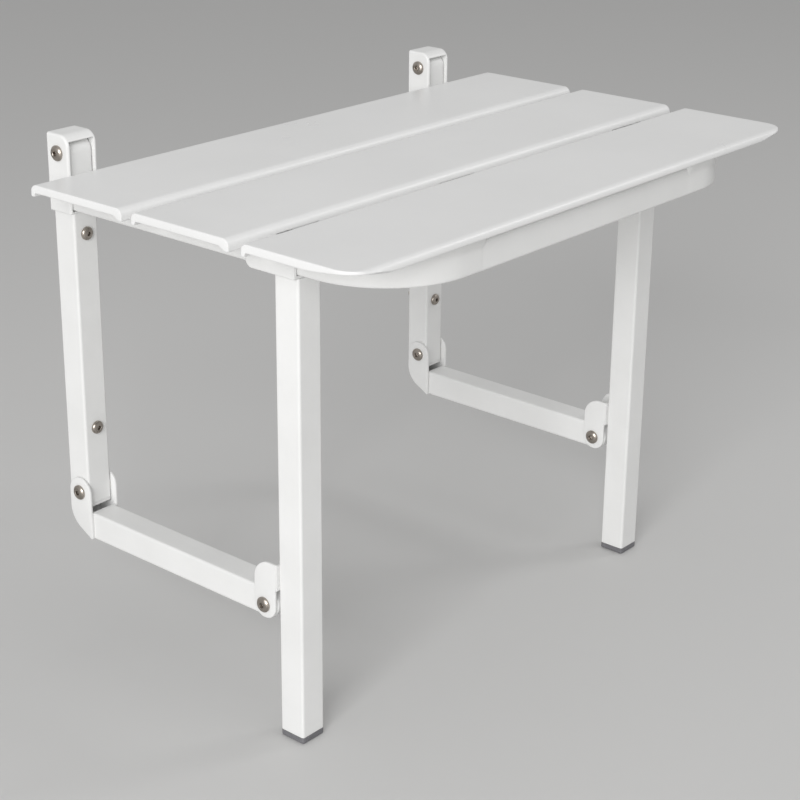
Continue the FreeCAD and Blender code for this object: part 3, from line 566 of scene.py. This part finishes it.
def slabPoints(outline, low, high, edge):
    # outline carried from low to high, drawn in along its own normals by edge (1 - sin t) at both ends
    step = np.roll(outline, -1, 0) - np.roll(outline, 1, 0)
    step = step / np.maximum(np.linalg.norm(step, axis=1), 1e-9)[:, None]
    inward = np.stack([-step[:, 1], step[:, 0]], -1)
    t = np.linspace(0, math.pi / 2, 5)
    level = np.concatenate([low + edge * (1 - np.cos(t)), high - edge * (1 - np.cos(t[::-1]))])
    draw = np.concatenate([edge * (1 - np.sin(t)), edge * (1 - np.sin(t[::-1]))])
    ring = outline[None] + draw[:, None, None] * inward[None]
    return np.concatenate([ring, np.repeat(level[:, None, None], len(outline), 1)], -1)


def platesPiece(name, plates, axis, crease=35):
    # plates are (outline, low, high, edge); outlines run anticlockwise seen against the axis
    points, faces, start = [], [], 0
    for outline, low, high, edge in plates:
        grid = slabPoints(outline, low, high, edge)
        rings, count = grid.shape[:2]
        last = (rings - 1) * count + start
        faces += (ringQuads(rings, count)[:, quadOver] + start).tolist()
        faces += [list(range(start + count - 1, start - 1, -1)), list(range(last, last + count))]
        points.append(grid.reshape(-1, 3))
        start += rings * count
    order = {"x": [2, 0, 1], "z": [0, 1, 2]}[axis]
    mesh = bpy.data.meshes.new(name)
    mesh.from_pydata(np.concatenate(points)[:, order].tolist(), [], faces)
    mesh.polygons.foreach_set("use_smooth", np.array([len(face) == 4 for face in faces]))
    mesh.set_sharp_from_angle(angle=math.radians(crease))
    piece = bpy.data.objects.new(name, mesh)
    scene.collection.objects.link(piece)
    return piece


for name, (back, depth, notches, changes) in slats.items():
    slatPiece(name, back, depth, notches, changes)

pads = {"half": 0.012, "inset": 0.016, "frontDeep": 0.045, "high": 0.0042, "round": 0.003, "edge": 0.0006}


def padPlates(p):
    # rounded rectangle under each slat on each rail
    plates = []
    for name, (back, depth, *others) in slats.items():
        front = back - p["frontDeep"] if name == "slat_front" else back - depth + p["inset"]
        for side, middle in sides:
            outline = roundedBox(middle - p["half"], middle + p["half"], front, back - p["inset"],
                                 p["round"], steps=6)
            plates.append((outline, railTop, railTop + p["high"], p["edge"]))
    return plates


dress(platesPiece("slat_pads", padPlates(pads), "z"), "seat", "white_seat_plastic")

fairing = {           # wall that fills out the frame's two bends and closes the room under the front slat
    "bend": 0.080, "start": -0.333, "outer": 0.0151, "setBack": 0.0028, "inner": 0.013, "innerHigh": -0.0003,
    "high": 0.0043, "low": -0.0297, "under": 0.014, "lowRound": 0.0022, "flare": 0.0042, "flareDeep": 0.013,
    "flareTurn": 0.5, "recess": 0.172, "ramp": 0.012, "rearRun": 0.006, "rearSet": 0.0004,
    "railSteps": 6, "bendSteps": 30, "rampSteps": 9, "wallSteps": 20, "wallPower": 1.4}


def fairingPath(f):
    # the frame's middle line in plan and the way outwards from it: straight, quarter circle, straight
    # front, quarter circle, straight; grown is how far the flare has come out along it
    turn = np.linspace(0, math.pi / 2, f["bendSteps"])
    cx, cy, straight = halfPitch - f["bend"], frontMiddle + f["bend"], f["railSteps"]
    rail = np.stack([np.full(straight, -halfPitch), np.linspace(f["start"], cy, straight + 1)[:-1]], -1)
    bend = np.stack([-cx - f["bend"] * np.cos(turn), cy - f["bend"] * np.sin(turn)], -1)
    out = np.stack([-np.cos(turn), -np.sin(turn)], -1)
    ramp = f["recess"] - f["ramp"] * np.linspace(0, 1, f["rampSteps"])
    steps = np.unique(np.concatenate([np.linspace(-cx, cx, f["bendSteps"]), ramp, -ramp]))
    steps = steps[np.abs(steps) < cx - 0.0001]       # the bends bring the two end points
    front = np.stack([steps, np.full_like(steps, frontMiddle)], -1)
    half = np.concatenate([rail, bend])
    halfOut = np.concatenate([np.tile((-1.0, 0.0), (straight, 1)), out])
    halfGrown = np.concatenate([np.zeros(straight), smoothStep(turn / f["flareTurn"])])
    middle = np.concatenate([half, front, half[::-1] * (-1, 1)])
    outward = np.concatenate([halfOut, np.tile((0.0, -1.0), (len(steps), 1)), halfOut[::-1] * (-1, 1)])
    grown = np.concatenate([halfGrown, np.ones(len(steps)), halfGrown[::-1]])
    return middle, outward, grown


def fairingPiece(f):
    # profile carried along the path; its face stands at side = outer + flare (1 + cos(pi h)) / 2, where h
    # goes from 0 at the top edge to 1 at the flare's depth; both are set back in the shallow groove
    middle, outward, grown = fairingPath(f)
    gap = smoothStep((f["recess"] - np.abs(middle[:, 0])) / f["ramp"])
    flare = f["flare"] * grown * (1 - gap)
    rear = smoothStep((middle[:, 1] - (f["start"] - f["rearRun"])) / f["rearRun"])
    outer = (f["outer"] - f["setBack"] * gap - f["rearSet"] * rear)[:, None]
    lowEdge = f["low"] + f["lowRound"]
    wall = f["high"] + (lowEdge - f["high"]) * np.linspace(0, 1, f["wallSteps"]) ** f["wallPower"]
    h = np.clip((f["high"] - wall) / f["flareDeep"], 0, 1)
    face = outer + flare[:, None] * (0.5 + 0.5 * np.cos(math.pi * h))
    roundOff = arc((0, 0), f["lowRound"], 0, -90, count=6)[1:]
    foot = outer - f["lowRound"] + roundOff[:, 0]
    inner = np.full((len(middle), 1), -f["inner"])
    side = np.concatenate([inner, face, foot, outer - f["under"], inner], 1)
    high = np.concatenate([[f["high"]], wall, lowEdge + roundOff[:, 1], [f["low"], f["innerHigh"]]])
    plan = middle[:, None] + side[..., None] * outward[:, None]
    level = np.repeat((railTop + high)[None], len(middle), 0)
    grid = np.concatenate([plan, level[..., None]], -1)
    # each end is closed by a fan about its own middle
    rows, columns = side.shape
    end = rows * columns
    points = np.concatenate([grid.reshape(-1, 3), grid[:1].mean(1), grid[-1:].mean(1)])
    fans = np.concatenate([fan(end, 0, columns)[:, fanOver], fan(end + 1, end - columns, columns)])
    piece = newMesh("frame_fairing", points, ringQuads(rows, columns)[:, quadOver], fans, crease=40)
    dress(piece, "seat", "white_powder_coat")


fairingPiece(fairing)
print("slats made")


def earPair(outline, middle, edge):
    # the same ear on both sides of a tube
    return [(outline, middle - earOut, middle - earIn, edge),
            (outline, middle + earIn, middle + earOut, edge)]


linkBracket = {       # behind a leg, from the link's front pivot: u towards the room, v up
    "u": (-0.0127, -0.0127, 0.0148, 0.0148, 0.0170, 0.0170),
    "v": (0.0470, -0.0138, -0.0138, 0.0190, 0.0190, 0.0466),
    "round": (0.0200, 0.0130, 0.0130, 0.0006, 0.0006, 0.0010), "edge": 0.0007,
    "webLow": 0.019, "webHigh": 0.0455, "webThick": 0.003, "webRound": 0.0006, "webLap": 0.0005,
    "webEdge": 0.0003}


def linkBracketPiece(side, middle, b):
    # u is -Y, so the ear's outline is mirrored and then turned round; the web stands on the leg's back
    deep, high = pivots["link_pivot"][1:]
    corners = [(deep - u, high + v) for u, v in zip(b["u"], b["v"])]
    ear = roundedOutline(corners, b["round"], steps=14)[::-1]
    legBack = legMiddle + halfTube
    web = roundedBox(legBack, legBack + b["webThick"], high + b["webLow"], high + b["webHigh"],
                     b["webRound"], steps=5)
    across = earIn + b["webLap"]
    plates = earPair(ear, middle, b["edge"]) + [(web, middle - across, middle + across, b["webEdge"])]
    dress(platesPiece("leg_link_bracket_%s_formed" % side, plates, "x"), side + "_leg", "white_powder_coat",
          "leg_link_bracket_" + side)


wallBracket = {       # ear round the lower wall pivot and down to the link's underside, scoop between the ears
    "y": (-0.036, -0.036, -0.004, -0.004), "z": (-0.160, -0.2272, -0.2100, -0.160),
    "round": (0.01595, 0.0012, 0.0270, 0.01595), "edge": 0.0008,
    "scoopY": (-0.036, -0.036, -0.004, -0.004, -0.0065, -0.0065, -0.033, -0.033),
    "scoopZ": (-0.197, -0.2272, -0.2100, -0.1945, -0.1945, -0.2085, -0.2226, -0.197),
    "scoopRound": (0.0004, 0.0012, 0.0240, 0.0004, 0.0004, 0.0215, 0.0008, 0.0004),
    "scoopLap": 0.0012, "scoopEdge": 0.0003}


def wallBracketPiece(side, middle, b):
    # side views in the plane x = 0, carried across between the given faces
    ear = roundedOutline(list(zip(b["y"], b["z"])), b["round"], steps=22)
    scoop = roundedOutline(list(zip(b["scoopY"], b["scoopZ"])), b["scoopRound"], steps=12)
    across = earIn + b["scoopLap"]
    plates = earPair(ear, middle, b["edge"]) + [(scoop, middle - across, middle + across, b["scoopEdge"])]
    dress(platesPiece("link_wall_bracket_%s_formed" % side, plates, "x"), side + "_link", "white_powder_coat",
          "link_wall_bracket_" + side)


footShape = {         # in millimetres: heights above the floor, how far each ring is drawn in, plan corners
    "z": (7.0, 6.35, 6.25, 5.9, 4.3, 4.05, 3.75, 3.5, 1.3, 0.6, 0.2, 0.0),
    "in": (1.0, 1.0, 0.45, 0.0, 0.0, 0.45, 0.45, 0.0, 0.0, 0.3, 0.8, 1.6), "corner": 2.5, "leastCorner": 1.0}


def footPiece(side, middle, f):
    # rounded squares stacked down to the floor: half side of the ring at z = half the tube - in(z)
    rings = []
    for high, drawn in zip(f["z"], f["in"]):
        h = halfTube - drawn / 1000
        corner = max(f["corner"] - drawn / 2, f["leastCorner"]) / 1000
        square = roundedBox(middle - h, middle + h, legMiddle - h, legMiddle + h, corner, steps=8)
        rings.append(np.column_stack([square, np.full(len(square), high / 1000 - lower)]))
    poles = [np.repeat(ring.mean(0)[None], len(ring), 0) for ring in (rings[0], rings[-1])]
    grid = np.array([poles[0], *rings, poles[1]])
    piece = latheMesh("foot_%s_ridged" % side, [grid], grid.shape[1])
    dress(piece, side + "_leg", "grey_foot_plastic", "foot_" + side)


for side, middle in sides:
    linkBracketPiece(side, middle, linkBracket)
    wallBracketPiece(side, middle, wallBracket)
    footPiece(side, middle, footShape)
print("brackets and feet made")

studio = {
    "floorShade": (0.64, 0.637, 0.63), "floorRough": 0.62, "floorGloss": 0.25, "floorGap": 0.0004,
    "floorRadius": 11.0, "floorRings": 12, "floorSpokes": 96,
    "sky": 0.42, "skyShade": (1.0, 1.0, 1.0), "backdrop": (0.58, 0.578, 0.572), "aim": (0, -0.25, -0.05),
    "lamps": {
        "keyLamp": {"from": (-4.2, -2.2, 1.75), "size": 2.6, "power": 172.0},
        "topLamp": {"from": (0.1, -0.6, 3.2), "size": 2.6, "power": 10.0},
        "edgeLamp": {"from": (2.4, -1.6, 1.95), "size": 0.7, "power": 10.0}}}


def makeStage(s):
    # disc of rings under the object; radius grows as the square of the ring's number
    count, spokes, level = s["floorRings"], s["floorSpokes"], -lower - s["floorGap"]
    t = np.linspace(0, 2 * math.pi, spokes, endpoint=False)
    r = s["floorRadius"] * np.linspace(0, 1, count + 1)[1:, None] ** 2
    rings = np.stack([r * np.cos(t), r * np.sin(t), np.full((count, spokes), level)], -1)
    points = np.concatenate([rings.reshape(-1, 3), [(0, 0, level)]])
    floor = newMesh("studioFloor", points, ringQuads(count, spokes), fan(count * spokes, 0, spokes))
    material = bpy.data.materials.new("studioFloor")
    material.use_nodes = True
    tree = material.node_tree
    shader = tree.nodes["Principled BSDF"]
    shader.inputs["Base Color"].default_value = (*s["floorShade"], 1)
    shader.inputs["Roughness"].default_value = s["floorRough"]
    shader.inputs["Specular IOR Level"].default_value = s["floorGloss"]
    # seen from below the floor is left out, so that the underside of the object can be looked at
    rays, facing = addNode(tree, "LightPath"), addNode(tree, "NewGeometry")
    below = mathNode(tree, "MULTIPLY", rays.outputs["Is Camera Ray"], facing.outputs["Backfacing"])
    clear, both = addNode(tree, "BsdfTransparent"), addNode(tree, "MixShader")
    wire(tree, (below, both.inputs[0]), (shader.outputs[0], both.inputs[1]), (clear.outputs[0], both.inputs[2]),
         (both.outputs[0], tree.nodes["Material Output"].inputs["Surface"]))
    floor.data.materials.append(material)


def makeWorld(s):
    # even light on the object, and the pale backdrop for the camera and for reflections
    world = bpy.data.worlds.new("studioWorld")
    world.use_nodes = True
    scene.world = world
    tree = world.node_tree
    light = tree.nodes["Background"]
    light.inputs["Color"].default_value = (*s["skyShade"], 1)
    light.inputs["Strength"].default_value = s["sky"]
    shown = addNode(tree, "Background", {"Color": (*s["backdrop"], 1), "Strength": 1.0})
    rays, both = addNode(tree, "LightPath"), addNode(tree, "MixShader")
    mirrored = mathNode(tree, "MAXIMUM", rays.outputs["Is Glossy Ray"], rays.outputs["Is Transmission Ray"])
    seen = mathNode(tree, "MAXIMUM", rays.outputs["Is Camera Ray"], mirrored)
    wire(tree, (seen, both.inputs[0]), (light.outputs[0], both.inputs[1]), (shown.outputs[0], both.inputs[2]),
         (both.outputs[0], tree.nodes["World Output"].inputs["Surface"]))


def makeLamps(s):
    # square lamps that all look at the same point under the seat
    for name, lamp in s["lamps"].items():
        light = bpy.data.lights.new(name, "AREA")
        light.shape, light.size, light.energy = "SQUARE", lamp["size"], lamp["power"]
        stand = bpy.data.objects.new(name, light)
        stand.location = lamp["from"]
        aim = Vector(s["aim"]) - Vector(lamp["from"])
        stand.rotation_euler = aim.to_track_quat("-Z", "Y").to_euler()
        scene.collection.objects.link(stand)


makeStage(studio)
makeWorld(studio)
makeLamps(studio)
scene.view_settings.view_transform = "Standard"
print("floor, world and lamps made")
